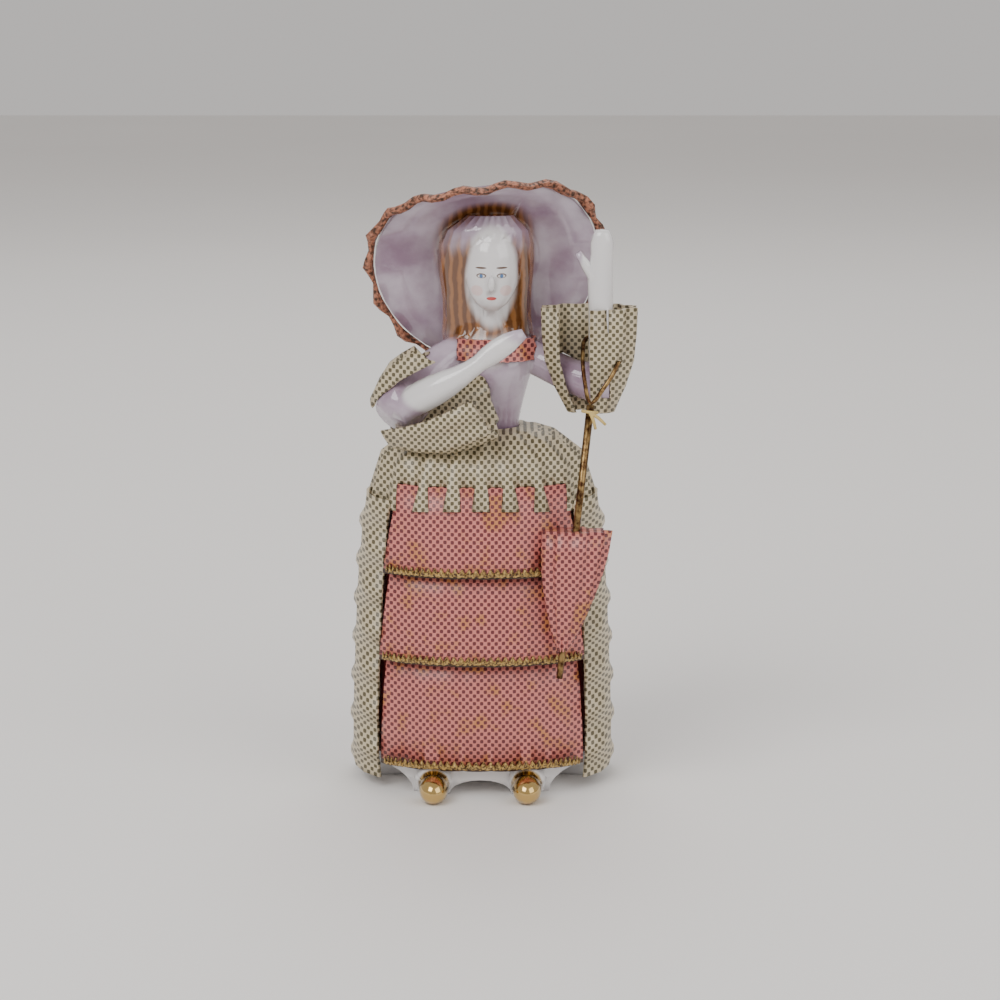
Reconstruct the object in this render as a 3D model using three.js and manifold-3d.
// A lace porcelain figurine: a lady in a wide hat, with a tiered lace skirt and a furled parasol.
// Millimetres, +Z up. The lady faces -Y, and the origin is under the middle of the whole.
import * as THREE from 'three';
import { mergeVertices } from 'three/addons/utils/BufferGeometryUtils.js';
import Module from 'manifold-3d';

const wasm = await Module();
wasm.setup();

const TURN = 2 * Math.PI;
const QUARTER = Math.PI / 2;
const CLEARANCE = 0.3;

// Where the skirt's own axis stands from the middle of the whole figurine.
const STAND = new THREE.Vector3(-1.17, 2.91, 0);

// The skirt: height above the floor, half width, reach to the front and reach to the back.
const SKIRT_CENTRE_X = -1.5;
const SKIRT_SQUARENESS = 2.4;
const SKIRT_LEVELS = [
  [0, 33.5, 25, 30],
  [5, 35, 26.5, 31.5],
  [20, 35, 27, 31.5],
  [40, 34.3, 26.4, 30],
  [62, 33.2, 25, 27.5],
  [80, 31.6, 23.4, 25.4],
  [88, 30.4, 22.4, 24.4],
];
const HIP_HEIGHT = 88;
const DOME_RISE = 18;
const BACK_FOLDS = { count: 7, depth: 1.1 };

// The lace on the skirt: front angles are measured either way from straight ahead.
const PANEL_HALF_ANGLE = THREE.MathUtils.degToRad(55);
const TIERS = [
  { name: 'skirt_lace_top_tier', top: 92.5, hem: 66.5, pleats: 6, lift: 3.2, phase: 0.3 },
  { name: 'skirt_lace_middle_tier', top: 69.5, hem: 40.5, pleats: 7, lift: 3.0, phase: 0.55 },
  { name: 'skirt_lace_bottom_tier', top: 43.5, hem: 8.5, pleats: 7, lift: 2.2, phase: 0.1 },
];
const TIER_TOP_LIFT = 0.9;
const TIER_THICKNESS = 0.8;
const PLEAT_DEPTH = 1.0;
const BORDER = { top: 87.5, bottom: 3.5, from: 57, to: 101, lobes: 7, lift: 3.2, wave: 1.5, thick: 0.9 };
const PEPLUM = { inner: 0.36, outer: 1.06, drop: 3.2, lobes: 19, lift: 3.4, wave: 1.3, thick: 0.9 };

// The body: height, middle across, middle fore and aft, half width, half depth.
const TORSO_LEVELS = [
  [103, 3.0, 0, 7.2, 6.0],
  [107, 3.0, 0, 6.5, 5.3],
  [112, 3.0, -0.2, 7.3, 5.9],
  [118, 2.8, -0.7, 9.0, 7.2],
  [124, 2.5, -1.3, 10.8, 8.6],
  [129, 2.2, -0.8, 11.6, 7.8],
  [132.5, 2.0, 0, 11.6, 6.2],
  [135, 1.8, 0.3, 8.6, 5.2],
  [137.5, 1.6, 0.3, 5.4, 4.6],
  [141, 1.5, -0.2, 4.5, 4.3],
  [148, 1.4, -0.6, 4.4, 4.4],
];
const HEAD_LEVELS = [
  [142.3, 1.4, -6.4, 2.2, 1.8],
  [143.6, 1.4, -5.4, 4.2, 3.9],
  [146.2, 1.4, -3.9, 6.2, 6.0],
  [150, 1.4, -2.2, 7.8, 8.0],
  [155, 1.4, -1.1, 8.6, 9.4],
  [160, 1.4, -0.6, 8.3, 9.5],
  [164, 1.4, -0.2, 6.8, 7.8],
  [166.5, 1.4, 0, 4.2, 5.0],
];
const NOSE = { at: new THREE.Vector3(1.4, -10.6, 150.4), size: new THREE.Vector3(1.1, 1.5, 2.4) };
const HAIR_LEVELS = [
  [130, 0.2, 3.5, 12.6, 5.0],
  [134, 0.2, 3.2, 13.2, 6.2],
  [140, 0, 3.2, 12.5, 6.6],
  [146, -0.1, 3.2, 12.7, 7.0],
  [152, -0.3, 3.0, 13.5, 7.4],
  [158, -0.3, 2.4, 13.8, 8.0],
  [163, 0, 1.4, 13.0, 9.0],
  [167, 0.6, 0.4, 10.6, 8.2],
  [169.6, 1.0, -0.4, 6.6, 5.6],
];
const HAIR_LOCKS = { count: 11, depth: 0.45 };

// The hat: a disc bent forward over the brow, rolled a little so that its left side is higher.
const BRIM = { radius: 33, thick: 1.5, roll: THREE.MathUtils.degToRad(8), sideLift: 3.2 };
const BRIM_MIDDLE = new THREE.Vector3(-0.4, 8.8, 157);
const BRIM_LEAN = { middle: 18, linear: 38, square: 29 };
const BRIM_RINGS = 4;
const CROWN = { at: new THREE.Vector3(0, 10.5, 158), size: new THREE.Vector3(14, 9.5, 13) };
const TRIM = { width: 2.1, topWidth: 1.2, thick: 1.2, waves: 17, ripple: 0.5, sway: 0.7 };

// The arms: stations along each limb, as place, half width and half thickness.
const RIGHT_SLEEVE = [
  [-6, 1, 130, 5.4, 5.4],
  [-14, -3, 125.5, 5.8, 5.8],
  [-21, -8.5, 119, 7.0, 7.2],
  [-25, -12.5, 115.2, 8.0, 8.0],
  [-28, -15.5, 112.2, 5.6, 5.6],
];
const RIGHT_FOREARM = [
  [-24.5, -15, 114.6, 4.4, 4.4],
  [-19.5, -19, 118.2, 4.8, 4.6],
  [-13.2, -21.8, 122.0, 4.5, 4.2],
  [-7.2, -23, 125.6, 3.3, 3.1],
  [-2.4, -23.6, 129.0, 2.6, 2.5],
  [2.0, -24, 132.4, 3.3, 2.2],
  [7.2, -24.2, 135.9, 2.8, 1.9],
  [10.8, -24.2, 138.0, 1.5, 1.1],
];
const LEFT_SLEEVE = [
  [8, 1, 130, 5.2, 5.2],
  [16, -1.5, 126.4, 5.0, 5.0],
  [25, -5.5, 122.6, 5.2, 5.2],
  [33, -9.2, 120.9, 5.9, 5.9],
  [37, -10.6, 120.6, 4.6, 4.6],
];
const LEFT_FOREARM = [
  [34.6, -9.6, 119.8, 3.8, 3.8],
  [34.0, -10.8, 125.0, 4.1, 4.0],
  [33.6, -12.0, 134.0, 3.9, 3.8],
  [33.2, -12.6, 144.0, 3.6, 3.4],
  [32.9, -12.8, 151.0, 3.7, 3.0],
  [33.3, -13.0, 158.0, 3.3, 2.4],
  [33.4, -13.2, 163.6, 3.3, 2.1],
  [33.4, -13.3, 166.6, 2.0, 1.5],
];
const LEFT_THUMB = [
  [31.6, -12.9, 152.2, 2.0, 1.8],
  [28.8, -13.4, 156.2, 1.5, 1.4],
  [26.4, -13.8, 160.0, 1.0, 1.0],
];

// The lace cuffs: each is a gathered strip round an arm, open towards the front.
const CUFFS = [
  {
    name: 'sleeve_lace_right_arm',
    foot: [-31, -11, 111],
    along: [0.80, -0.22, 0.42],
    side: [-0.50, 0.38, 0.78],
    length: 31,
    sideReach: [13.5, 18.5],
    depthReach: [9.5, 9.5],
    opening: [62, 118],
    lean: 0.42,
  },
  {
    name: 'sleeve_lace_left_arm',
    foot: [31.4, -8.6, 112.6],
    along: [0, 0, 1],
    side: [-1, 0, 0],
    length: 31,
    sideReach: [14.5, 11.5],
    depthReach: [8.0, 7.0],
    opening: [42, 84],
    lean: 0,
  },
];
const CUFF = { thick: 1.0, waves: 9, ripple: 1.2, footShare: 0.5 };
const NECK_LACE = { bottom: 127.5, top: 133.5, lift: 1.5, wave: 0.7, waves: 14, thick: 0.9 };

// The shoes and the arches cut under the front hem: middle across, half width, height, how far back.
const SHOES = [-15.7, 11.8];
const SHOE = { y: -31.5, z: 3.6, size: new THREE.Vector3(4.4, 6.6, 4.3) };
const SHOE_HOOD = { y: -23.5, z: 4.5, size: new THREE.Vector3(6.0, 8.5, 6.2) };
const HEM_ARCHES = [
  { x: -1.9, half: 9.2, height: 4.6, back: -13 },
  { x: -31.5, half: 9.5, height: 7.4, back: -6 },
  { x: 28.0, half: 9.5, height: 7.4, back: -6 },
];

// The parasol hangs from a wire loop round the raised arm.
const ROD_TOP = new THREE.Vector3(30.1, -21.6, 116.7);
const ROD_TIP = new THREE.Vector3(21.2, -31.8, 37.5);
const ROD_RADIUS = [1.15, 0.95];
const WIRE_RADIUS = 0.65;
const WIRE_LOOP = [
  [30.1, -21.4, 116.9],
  [33.6, -18.8, 120.6],
  [37.4, -16.4, 126.2],
  [39.2, -11.8, 131.6],
  [34.6, -6.6, 134.6],
  [29.2, -8.6, 134.4],
  [28.0, -14.4, 130.0],
  [28.4, -19.4, 123.4],
];
const CANOPY = { top: 80.5, bottom: 45.5, pleats: 9, fold: 0.14, bore: 1.5 };
const CANOPY_LEVELS = [
  [0, 1.5, 1.5],
  [0.15, 4.2, 3.2],
  [0.45, 7.6, 4.4],
  [0.75, 9.9, 5.2],
  [1, 10.6, 5.4],
];
const THREAD = { ring: 2.1, thick: 0.5, tailReach: 4.5 };

const LOOKS = {
  porcelain: { color: 0xd9d0d4, roughness: 0.15, metalness: 0 },
  pink: { color: 0xd98078, roughness: 0.6, metalness: 0 },
  cream: { color: 0xc9bb98, roughness: 0.6, metalness: 0 },
  copper: { color: 0xc07a5c, roughness: 0.5, metalness: 0.2 },
  brass: { color: 0x8a6a35, roughness: 0.35, metalness: 1 },
  thread: { color: 0xd8bf72, roughness: 0.8, metalness: 0 },
};

// A value read off a list of levels at height z, smoothly between them.
function levelAt(levels, z, column) {
  const last = levels.length - 1;
  if (z <= levels[0][0]) return levels[0][column];
  if (z >= levels[last][0]) return levels[last][column];
  const i = levels.findIndex((level) => level[0] > z) - 1;
  const share = (z - levels[i][0]) / (levels[i + 1][0] - levels[i][0]);
  const value = (k) => levels[Math.min(Math.max(k, 0), last)][column];
  const slope = (k) => (value(k + 1) - value(k - 1)) / 2;
  const s2 = share * share;
  const s3 = s2 * share;
  return (
    (2 * s3 - 3 * s2 + 1) * value(i) + (s3 - 2 * s2 + share) * slope(i) +
    (3 * s2 - 2 * s3) * value(i + 1) + (s3 - s2) * slope(i + 1)
  );
}

// The reach of a squared oval, front and back told apart, in a direction.
function ovalReach(angle, half, front, back, squareness) {
  const across = Math.abs(Math.cos(angle)) / half;
  const along = Math.abs(Math.sin(angle)) / (Math.sin(angle) < 0 ? front : back);
  return (across ** squareness + along ** squareness) ** (-1 / squareness);
}

// Turns a mesh of points and triangles to face out, whichever way its rows ran.
function geometryOf(points, faces) {
  let volume = 0;
  const edge = new THREE.Vector3();
  for (let i = 0; i < faces.length; i += 3) {
    const [a, b, c] = [points[faces[i]], points[faces[i + 1]], points[faces[i + 2]]];
    volume += a.dot(edge.crossVectors(b, c));
  }
  const index = volume < 0 ? [...faces].reverse() : faces;
  return new THREE.BufferGeometry().setFromPoints(points).setIndex(index);
}

// A closed solid through rings of as many points each, closed at both ends.
function loft(rings) {
  const sides = rings[0].length;
  const points = rings.flat();
  const faces = [];
  for (let i = 0; i + 1 < rings.length; i += 1) {
    for (let k = 0; k < sides; k += 1) {
      const a = i * sides + k;
      const b = i * sides + ((k + 1) % sides);
      faces.push(a, b, b + sides, a, b + sides, a + sides);
    }
  }
  const close = (ring, start, flip) => {
    const middle = ring.reduce((sum, p) => sum.add(p), new THREE.Vector3()).divideScalar(sides);
    points.push(middle);
    for (let k = 0; k < sides; k += 1) {
      const pair = [start + k, start + ((k + 1) % sides)];
      faces.push(points.length - 1, ...(flip ? pair.reverse() : pair));
    }
  };
  close(rings[0], 0, true);
  close(rings[rings.length - 1], (rings.length - 1) * sides, false);
  return geometryOf(points, faces);
}

// A sheet of some thickness: place(s, t, side) gives its outer (0) and inner (1) faces.
function sheet(across, down, wraps, place) {
  const points = [];
  const columns = wraps ? across : across + 1;
  for (const side of [0, 1]) {
    for (let i = 0; i < columns; i += 1) {
      for (let j = 0; j <= down; j += 1) points.push(place(i / across, j / down, side));
    }
  }
  const at = (i, j, side) => side * columns * (down + 1) + (i % columns) * (down + 1) + j;
  const faces = [];
  const quad = (a, b, c, d) => faces.push(a, b, c, a, c, d);
  for (let i = 0; i < across; i += 1) {
    for (let j = 0; j < down; j += 1) {
      quad(at(i, j, 0), at(i + 1, j, 0), at(i + 1, j + 1, 0), at(i, j + 1, 0));
      quad(at(i, j, 1), at(i, j + 1, 1), at(i + 1, j + 1, 1), at(i + 1, j, 1));
    }
    quad(at(i, 0, 0), at(i, 0, 1), at(i + 1, 0, 1), at(i + 1, 0, 0));
    quad(at(i, down, 0), at(i + 1, down, 0), at(i + 1, down, 1), at(i, down, 1));
  }
  if (!wraps) {
    for (let j = 0; j < down; j += 1) {
      quad(at(0, j, 0), at(0, j + 1, 0), at(0, j + 1, 1), at(0, j, 1));
      quad(at(across, j, 0), at(across, j, 1), at(across, j + 1, 1), at(across, j + 1, 0));
    }
  }
  return geometryOf(points, faces);
}

// A limb through stations, its section turned so that its flat side faces the viewer.
function limb(stations, sides, steps, grown = 0) {
  const path = new THREE.CatmullRomCurve3(stations.map((s) => new THREE.Vector3(s[0], s[1], s[2])));
  const last = stations.length - 1;
  const levels = stations.map((s, i) => [i / last, s[3], s[4]]);
  const rings = [];
  for (let i = 0; i <= steps; i += 1) {
    const t = i / steps;
    const middle = path.getPoint(t);
    const tangent = path.getTangent(t);
    const width = new THREE.Vector3().crossVectors(tangent, new THREE.Vector3(0, 1, 0)).normalize();
    const depth = new THREE.Vector3().crossVectors(width, tangent).normalize();
    const half = [levelAt(levels, t, 1) + grown, levelAt(levels, t, 2) + grown];
    const ends = (i === 0 ? -1 : i === steps ? 1 : 0) * grown;
    rings.push(
      Array.from({ length: sides }, (_, k) => {
        const angle = (k / sides) * TURN;
        return middle.clone()
          .addScaledVector(tangent, ends)
          .addScaledVector(width, Math.cos(angle) * half[0])
          .addScaledVector(depth, Math.sin(angle) * half[1]);
      }),
    );
  }
  return loft(rings);
}

// Stacked ovals read off a list of levels.
function stack(levels, sides, steps, squareness, grown = 0, ripple = () => 0) {
  const bottom = levels[0][0];
  const height = levels[levels.length - 1][0] - bottom;
  return loft(
    Array.from({ length: steps + 1 }, (_, i) => {
      const z = bottom + (height * i) / steps;
      const [x, y, half, depth] = [1, 2, 3, 4].map((column) => levelAt(levels, z, column));
      return Array.from({ length: sides }, (_, k) => {
        const angle = (k / sides) * TURN;
        const reach = ovalReach(angle, half, depth, depth, squareness) + grown + ripple(angle, z);
        return new THREE.Vector3(x + reach * Math.cos(angle), y + reach * Math.sin(angle), z);
      });
    }),
  );
}

function ball(at, size, sides = 12, levels = 8) {
  return new THREE.SphereGeometry(1, sides, levels)
    .rotateX(QUARTER)
    .scale(size.x, size.y, size.z)
    .translate(at.x, at.y, at.z);
}

// A geometry as a solid that can be joined and cut.
function solid(geometry) {
  const bare = geometry.clone();
  bare.deleteAttribute('normal');
  bare.deleteAttribute('uv');
  const merged = mergeVertices(bare, 1e-4);
  return new wasm.Manifold(
    new wasm.Mesh({
      numProp: 3,
      vertProperties: merged.getAttribute('position').array,
      triVerts: new Uint32Array(merged.index.array),
    }),
  );
}

function joined(solids) {
  return solids.reduce((whole, piece) => whole.add(piece));
}

function geometryFrom(shape) {
  const mesh = shape.getMesh();
  const positions = new Float32Array(mesh.numVert * 3);
  for (let i = 0; i < mesh.numVert; i += 1) {
    positions.set(mesh.vertProperties.subarray(i * mesh.numProp, i * mesh.numProp + 3), i * 3);
  }
  return new THREE.BufferGeometry()
    .setAttribute('position', new THREE.BufferAttribute(positions, 3))
    .setIndex(new THREE.BufferAttribute(mesh.triVerts, 1));
}

// Keeps the largest body of a cut solid, without the crumbs that a cut can leave.
function largest(shape) {
  return shape.decompose().reduce((best, piece) => (piece.volume() > best.volume() ? piece : best));
}

function skirtReach(angle, z, lift = 0) {
  const [half, front, back] = [1, 2, 3].map((column) => levelAt(SKIRT_LEVELS, z, column));
  const behind = Math.max(Math.sin(angle), 0);
  const fold = BACK_FOLDS.depth * behind * Math.cos(2 * BACK_FOLDS.count * angle) * Math.min(1, z / 20);
  return ovalReach(angle, half, front, back, SKIRT_SQUARENESS) + fold + lift;
}

function skirtPoint(angle, z, lift) {
  const reach = skirtReach(angle, z, lift);
  return new THREE.Vector3(SKIRT_CENTRE_X + reach * Math.cos(angle), reach * Math.sin(angle), z);
}

// The rounded top of the skirt: share 1 is the hip's edge and 0 the middle.
function domePoint(angle, share, lift) {
  const height = (s) => DOME_RISE * Math.max(0, 1 - s ** 3) ** 0.65;
  const inside = Math.min(share, 0.999);
  const slope = (height(inside - 0.01) - height(inside)) / (0.01 * skirtReach(angle, HIP_HEIGHT));
  const tilt = Math.atan(slope);
  const reach = share * skirtReach(angle, HIP_HEIGHT) + lift * Math.sin(tilt);
  const z = HIP_HEIGHT + height(inside) + lift * Math.cos(tilt);
  return new THREE.Vector3(SKIRT_CENTRE_X + reach * Math.cos(angle), reach * Math.sin(angle), z);
}

function skirtCore() {
  const sides = 56;
  const ring = (place) => Array.from({ length: sides }, (_, k) => place((k / sides) * TURN));
  const walls = [0, 5, 14, 34, 54, 72, 84].map((z) => ring((angle) => skirtPoint(angle, z, 0)));
  const dome = [0.995, 0.96, 0.9, 0.78, 0.6, 0.35].map((s) => ring((angle) => domePoint(angle, s, 0)));
  return solid(loft([...walls, ...dome]));
}

function hemArch({ x, half, height, back }) {
  const reach = 60;
  const tunnel = new THREE.CylinderGeometry(1, 1, reach, 20)
    .scale(half, 1, height)
    .translate(x, back - reach / 2, 0);
  return solid(tunnel);
}

function shoe(x) {
  const toe = solid(ball(new THREE.Vector3(x, SHOE.y, SHOE.z), SHOE.size, 14, 10));
  const hood = solid(ball(new THREE.Vector3(x, SHOE_HOOD.y, SHOE_HOOD.z), SHOE_HOOD.size, 14, 8));
  return toe.add(hood);
}

// How far the bent brim has come forward and up at a signed distance from its middle.
function brimBend(distance) {
  const steps = 12;
  let [y, z] = [0, 0];
  for (let i = 0; i < steps; i += 1) {
    const t = (distance * (i + 0.5)) / steps / BRIM.radius;
    const lean = THREE.MathUtils.degToRad(
      BRIM_LEAN.middle + BRIM_LEAN.linear * t + BRIM_LEAN.square * t * t,
    );
    y -= (Math.sin(lean) * distance) / steps;
    z += (Math.cos(lean) * distance) / steps;
  }
  const t = distance / BRIM.radius;
  const lean = THREE.MathUtils.degToRad(
    BRIM_LEAN.middle + BRIM_LEAN.linear * t + BRIM_LEAN.square * t * t,
  );
  return { y, z, normal: new THREE.Vector3(0, -Math.cos(lean), -Math.sin(lean)) };
}

// A point of the brim at a radius and angle, lifted towards the face.
function brimPoint(radius, angle, lift) {
  const across = radius * Math.cos(angle);
  const bend = brimBend(radius * Math.sin(angle));
  const point = new THREE.Vector3(across, bend.y, bend.z);
  point.addScaledVector(bend.normal, lift + BRIM.sideLift * (across / BRIM.radius) ** 2);
  const [c, s] = [Math.cos(BRIM.roll), Math.sin(BRIM.roll)];
  return new THREE.Vector3(point.x * c - point.z * s, point.y, point.z * c + point.x * s)
    .add(BRIM_MIDDLE);
}

function brim(grown = 0) {
  const sides = 44;
  const half = BRIM.thick / 2 + grown;
  const ring = (radius, lift) =>
    Array.from({ length: sides }, (_, k) => brimPoint(radius, (k / sides) * TURN, lift));
  const radii = Array.from({ length: BRIM_RINGS }, (_, i) => ((i + 1) / BRIM_RINGS) * (BRIM.radius + grown));
  return solid(loft([...radii.map((r) => ring(r, half)), ...radii.reverse().map((r) => ring(r, -half))]));
}

function crown() {
  return solid(ball(CROWN.at, CROWN.size, 24, 12));
}

function hair() {
  const ripple = (angle) => HAIR_LOCKS.depth * Math.cos(HAIR_LOCKS.count * 2 * angle);
  return solid(stack(HAIR_LEVELS, 44, 9, 2.3, 0, ripple));
}

function torso(grown = 0) {
  return solid(stack(TORSO_LEVELS, 22, 16, 2.1, grown));
}

function sleeves(grown = 0) {
  return solid(limb(RIGHT_SLEEVE, 16, 9, grown)).add(solid(limb(LEFT_SLEEVE, 14, 8, grown)));
}

function forearms(grown = 0) {
  return joined([
    solid(limb(RIGHT_FOREARM, 12, 12, grown)),
    solid(limb(LEFT_FOREARM, 12, 12, grown)),
    solid(limb(LEFT_THUMB, 8, 4, grown)),
  ]);
}

function figure() {
  const skirt = HEM_ARCHES.reduce((shape, arch) => shape.subtract(hemArch(arch)), skirtCore());
  const whole = joined([
    skirt,
    ...SHOES.map(shoe),
    torso(),
    solid(stack(HEAD_LEVELS, 20, 12, 2.05)),
    solid(ball(NOSE.at, NOSE.size, 8, 6)),
    hair(),
    brim(),
    crown(),
    sleeves(),
    forearms(),
  ]);
  const below = new THREE.BoxGeometry(200, 200, 40).translate(0, 0, -20);
  return largest(whole.subtract(solid(below)));
}

// A pleat's outline along the cloth: a broad face and a narrow tuck behind the next one.
function pleat(position) {
  const share = position - Math.floor(position);
  return share < 0.82 ? Math.sin((share / 0.82) * Math.PI) ** 0.6 : -0.5 * Math.sin(((share - 0.82) / 0.18) * Math.PI);
}

function skirtTier(tier) {
  const spot = (s, t, side) => {
    const angle = -QUARTER + (2 * s - 1) * PANEL_HALF_ANGLE;
    const z = tier.top + (tier.hem - tier.top) * t;
    const flare = TIER_TOP_LIFT + (tier.lift - TIER_TOP_LIFT) * t ** 0.7;
    const fold = PLEAT_DEPTH * (0.25 + 0.75 * t) * (0.5 + 0.5 * pleat(s * tier.pleats + tier.phase));
    const lift = side ? flare - TIER_THICKNESS / 2 : flare + TIER_THICKNESS / 2 + fold;
    return z > HIP_HEIGHT
      ? skirtPoint(angle, HIP_HEIGHT, lift).setZ(z)
      : skirtPoint(angle, z, lift);
  };
  return sheet(tier.pleats * 6, 3, false, spot);
}

function borderRuffle(hand) {
  const spot = (s, t, side) => {
    const z = BORDER.top + (BORDER.bottom - BORDER.top) * s;
    const wave = Math.sin(s * BORDER.lobes * TURN);
    const spread = THREE.MathUtils.degToRad(
      BORDER.from + (BORDER.to - BORDER.from) * t + 2.5 * wave * (2 * t - 1),
    );
    const swell = BORDER.lift + BORDER.wave * wave * Math.cos(t * Math.PI);
    const roundness = Math.sin(t * Math.PI) * 0.8;
    const lift = swell + roundness + (side ? -1 : 1) * (BORDER.thick / 2);
    return skirtPoint(-QUARTER + hand * spread, z, Math.max(lift, side ? CLEARANCE : 1.2));
  };
  return sheet(BORDER.lobes * 6, 4, false, spot);
}

function peplum() {
  const spot = (s, t, side) => {
    const angle = s * TURN;
    const wave = Math.sin(PEPLUM.lobes * angle);
    const share = PEPLUM.inner + (PEPLUM.outer - PEPLUM.inner) * t;
    const lift = 1.2 + (PEPLUM.lift - 1.2) * t + PEPLUM.wave * wave * t + (side ? -1 : 1) * (PEPLUM.thick / 2);
    const point = domePoint(angle, Math.min(share, 0.985), lift);
    const beyond = Math.max(0, share - 0.985) * skirtReach(angle, HIP_HEIGHT);
    return point.setZ(point.z - beyond * PEPLUM.drop);
  };
  return sheet(PEPLUM.lobes * 4, 4, true, spot);
}

// How far out the hat's frill stands, widest over the brow.
function trimWidth(angle) {
  const above = Math.max(0, Math.sin(angle));
  return TRIM.width / 2 + TRIM.topWidth * above + TRIM.ripple * Math.sin(TRIM.waves * angle);
}

function hatTrim() {
  const [around, sides] = [72, 6];
  const points = [];
  for (let i = 0; i < around; i += 1) {
    const angle = (i / around) * TURN;
    const width = trimWidth(angle);
    const sway = TRIM.sway * Math.sin(TRIM.waves * angle + 1.3);
    for (let k = 0; k < sides; k += 1) {
      const turn = (k / sides) * TURN;
      const radius = BRIM.radius + CLEARANCE + 0.1 + width + width * Math.cos(turn);
      points.push(brimPoint(radius, angle, sway + TRIM.thick * Math.sin(turn)));
    }
  }
  const faces = [];
  for (let i = 0; i < around; i += 1) {
    for (let k = 0; k < sides; k += 1) {
      const [a, b] = [i * sides + k, i * sides + ((k + 1) % sides)];
      const [c, d] = [((i + 1) % around) * sides + ((k + 1) % sides), ((i + 1) % around) * sides + k];
      faces.push(a, b, c, a, c, d);
    }
  }
  return geometryOf(points, faces);
}

function cuff({ foot, along, side, length, sideReach, depthReach, opening, lean }) {
  const axis = new THREE.Vector3(...along).normalize();
  const flank = new THREE.Vector3(...side);
  flank.addScaledVector(axis, -flank.dot(axis)).normalize();
  const front = new THREE.Vector3().crossVectors(axis, flank);
  if (front.y > 0) front.negate();
  const [from, to] = opening.map((degrees) => THREE.MathUtils.degToRad(degrees));
  const spot = (s, t, inner) => {
    const angle = to + (TURN - (to - from)) * s;
    const profile = CUFF.footShare + (1 - CUFF.footShare) * Math.sin(Math.min(1, t * 1.5) * QUARTER);
    const [c, n] = [Math.cos(angle), Math.sin(angle)];
    const ripple = CUFF.ripple * t * Math.sin(s * CUFF.waves * TURN) + (inner ? -1 : 1) * (CUFF.thick / 2);
    const reach = (c > 0 ? sideReach[0] : sideReach[1]) * profile + ripple;
    const depth = (n > 0 ? depthReach[0] : depthReach[1]) * profile + ripple;
    return new THREE.Vector3(...foot)
      .addScaledVector(axis, length * (t - lean * Math.max(0, c) * t))
      .addScaledVector(flank, reach * c)
      .addScaledVector(front, depth * n);
  };
  return sheet(CUFF.waves * 4, 4, false, spot);
}

function neckLace() {
  const spot = (s, t, side) => {
    const angle = s * TURN;
    const z = NECK_LACE.bottom + (NECK_LACE.top - NECK_LACE.bottom) * t;
    const [x, y, half, depth] = [1, 2, 3, 4].map((column) => levelAt(TORSO_LEVELS, z, column));
    const wave = NECK_LACE.wave * Math.sin(NECK_LACE.waves * angle) * (1 - 0.5 * t);
    const lift = NECK_LACE.lift + wave + (side ? -1 : 1) * (NECK_LACE.thick / 2);
    const reach = ovalReach(angle, half, depth, depth, 2.1) + lift;
    return new THREE.Vector3(x + reach * Math.cos(angle), y + reach * Math.sin(angle), z);
  };
  return sheet(NECK_LACE.waves * 3, 2, true, spot);
}

function rodPath(share) {
  return new THREE.Vector3().lerpVectors(ROD_TIP, ROD_TOP, share);
}

function rodBar(grown = 0) {
  const stations = [0, 0.12, 0.5, 1].map((share) => {
    const radius = ROD_RADIUS[1] + (ROD_RADIUS[0] - ROD_RADIUS[1]) * share + grown;
    return [...rodPath(share).toArray(), radius, radius];
  });
  return solid(limb(stations, 10, 4));
}

function wireLoop() {
  const path = new THREE.CatmullRomCurve3(WIRE_LOOP.map((p) => new THREE.Vector3(...p)), true);
  const [around, sides] = [28, 6];
  const frames = path.computeFrenetFrames(around, true);
  const points = [];
  for (let i = 0; i < around; i += 1) {
    const middle = path.getPointAt(i / around);
    for (let k = 0; k < sides; k += 1) {
      const turn = (k / sides) * TURN;
      points.push(
        middle.clone()
          .addScaledVector(frames.normals[i], WIRE_RADIUS * Math.cos(turn))
          .addScaledVector(frames.binormals[i], WIRE_RADIUS * Math.sin(turn)),
      );
    }
  }
  const faces = [];
  for (let i = 0; i < around; i += 1) {
    for (let k = 0; k < sides; k += 1) {
      const [a, b] = [i * sides + k, i * sides + ((k + 1) % sides)];
      const [c, d] = [((i + 1) % around) * sides + ((k + 1) % sides), ((i + 1) % around) * sides + k];
      faces.push(a, b, c, a, c, d);
    }
  }
  return solid(geometryOf(points, faces));
}

function canopy() {
  const span = ROD_TOP.z - ROD_TIP.z;
  const steps = 6;
  const rings = Array.from({ length: steps + 1 }, (_, i) => {
    const t = i / steps;
    const z = CANOPY.bottom + (CANOPY.top - CANOPY.bottom) * t;
    const middle = rodPath((z - ROD_TIP.z) / span);
    const [half, depth] = [levelAt(CANOPY_LEVELS, t, 1), levelAt(CANOPY_LEVELS, t, 2)];
    const points = CANOPY.pleats * 4;
    return Array.from({ length: points }, (_, k) => {
      const angle = (k / points) * TURN;
      const fold = 1 - CANOPY.fold * (0.5 - 0.5 * Math.cos(CANOPY.pleats * angle)) * 2;
      return new THREE.Vector3(
        middle.x + half * fold * Math.cos(angle),
        middle.y + depth * fold * Math.sin(angle),
        z,
      );
    });
  });
  return solid(loft(rings)).subtract(rodBar(CLEARANCE + 0.1));
}

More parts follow.
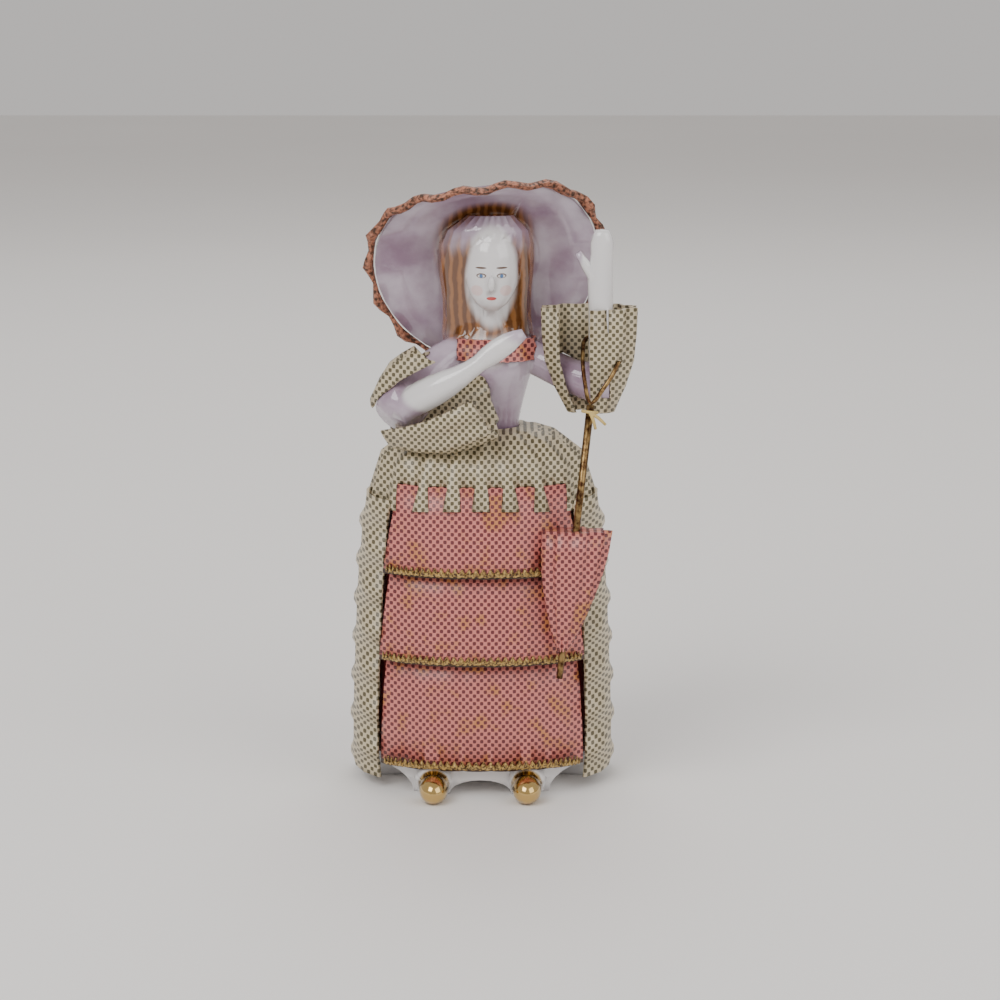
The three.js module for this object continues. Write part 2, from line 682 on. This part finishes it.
function threadTie() {
  const ring = new THREE.TorusGeometry(THREAD.ring, THREAD.thick, 6, 14);
  const slope = new THREE.Quaternion().setFromUnitVectors(
    new THREE.Vector3(0, 0, 1),
    new THREE.Vector3().subVectors(ROD_TOP, ROD_TIP).normalize(),
  );
  ring.applyQuaternion(slope).translate(...rodPath(0.975).toArray());
  const tail = (reach, fall) => {
    const start = rodPath(0.975).add(new THREE.Vector3(0, -THREAD.ring, 0));
    return solid(limb(
      [
        [...start.toArray(), THREAD.thick, THREAD.thick],
        [start.x + reach / 2, start.y - 1.2, start.z - fall / 3, THREAD.thick, THREAD.thick],
        [start.x + reach, start.y - 1.4, start.z - fall, THREAD.thick * 0.8, THREAD.thick * 0.8],
      ],
      6,
      4,
    ));
  };
  return joined([solid(ring), tail(THREAD.tailReach, 3.2), tail(1.6, THREAD.tailReach)]);
}

// A shape cut back so that it stands clear of a neighbour on every side.
function clearOf(shape, neighbour) {
  if (shape.intersect(neighbour).volume() < 1e-4) return shape;
  const shifts = [-CLEARANCE, CLEARANCE].flatMap((s) => [[s, 0, 0], [0, s, 0], [0, 0, s]]);
  return shifts.reduce((cut, shift) => cut.subtract(neighbour.translate(shift)), shape);
}

const placed = [];

// Adds a named piece to a group, cut clear of every piece that was there before it.
function place(group, name, look, shape) {
  const fitted = largest(placed.reduce(clearOf, shape));
  placed.push(fitted);
  const mesh = new THREE.Mesh(geometryFrom(fitted), new THREE.MeshStandardMaterial(LOOKS[look]));
  mesh.name = name;
  group.add(mesh);
}

const lady = new THREE.Group();
const lace = new THREE.Group();
const parasol = new THREE.Group();

place(lady, 'porcelain_figure', 'porcelain', figure());
place(parasol, 'parasol_rod', 'brass', rodBar().add(wireLoop()));
place(parasol, 'parasol_canopy', 'pink', canopy());
TIERS.forEach((tier) => place(lace, tier.name, 'pink', solid(skirtTier(tier))));
place(lace, 'overskirt_border_right', 'cream', solid(borderRuffle(-1)));
place(lace, 'overskirt_border_left', 'cream', solid(borderRuffle(1)));
place(lace, 'waist_peplum', 'cream', solid(peplum()));
place(lace, 'hat_brim_frill', 'copper', solid(hatTrim()));
CUFFS.forEach((shape) => place(lace, shape.name, 'cream', solid(cuff(shape))));
place(lace, 'neckline_lace', 'pink', solid(neckLace()));
place(parasol, 'thread_tie', 'thread', threadTie());

const figurine = new THREE.Group();
figurine.add(lady, lace, parasol);
figurine.position.copy(STAND);

export default figurine;
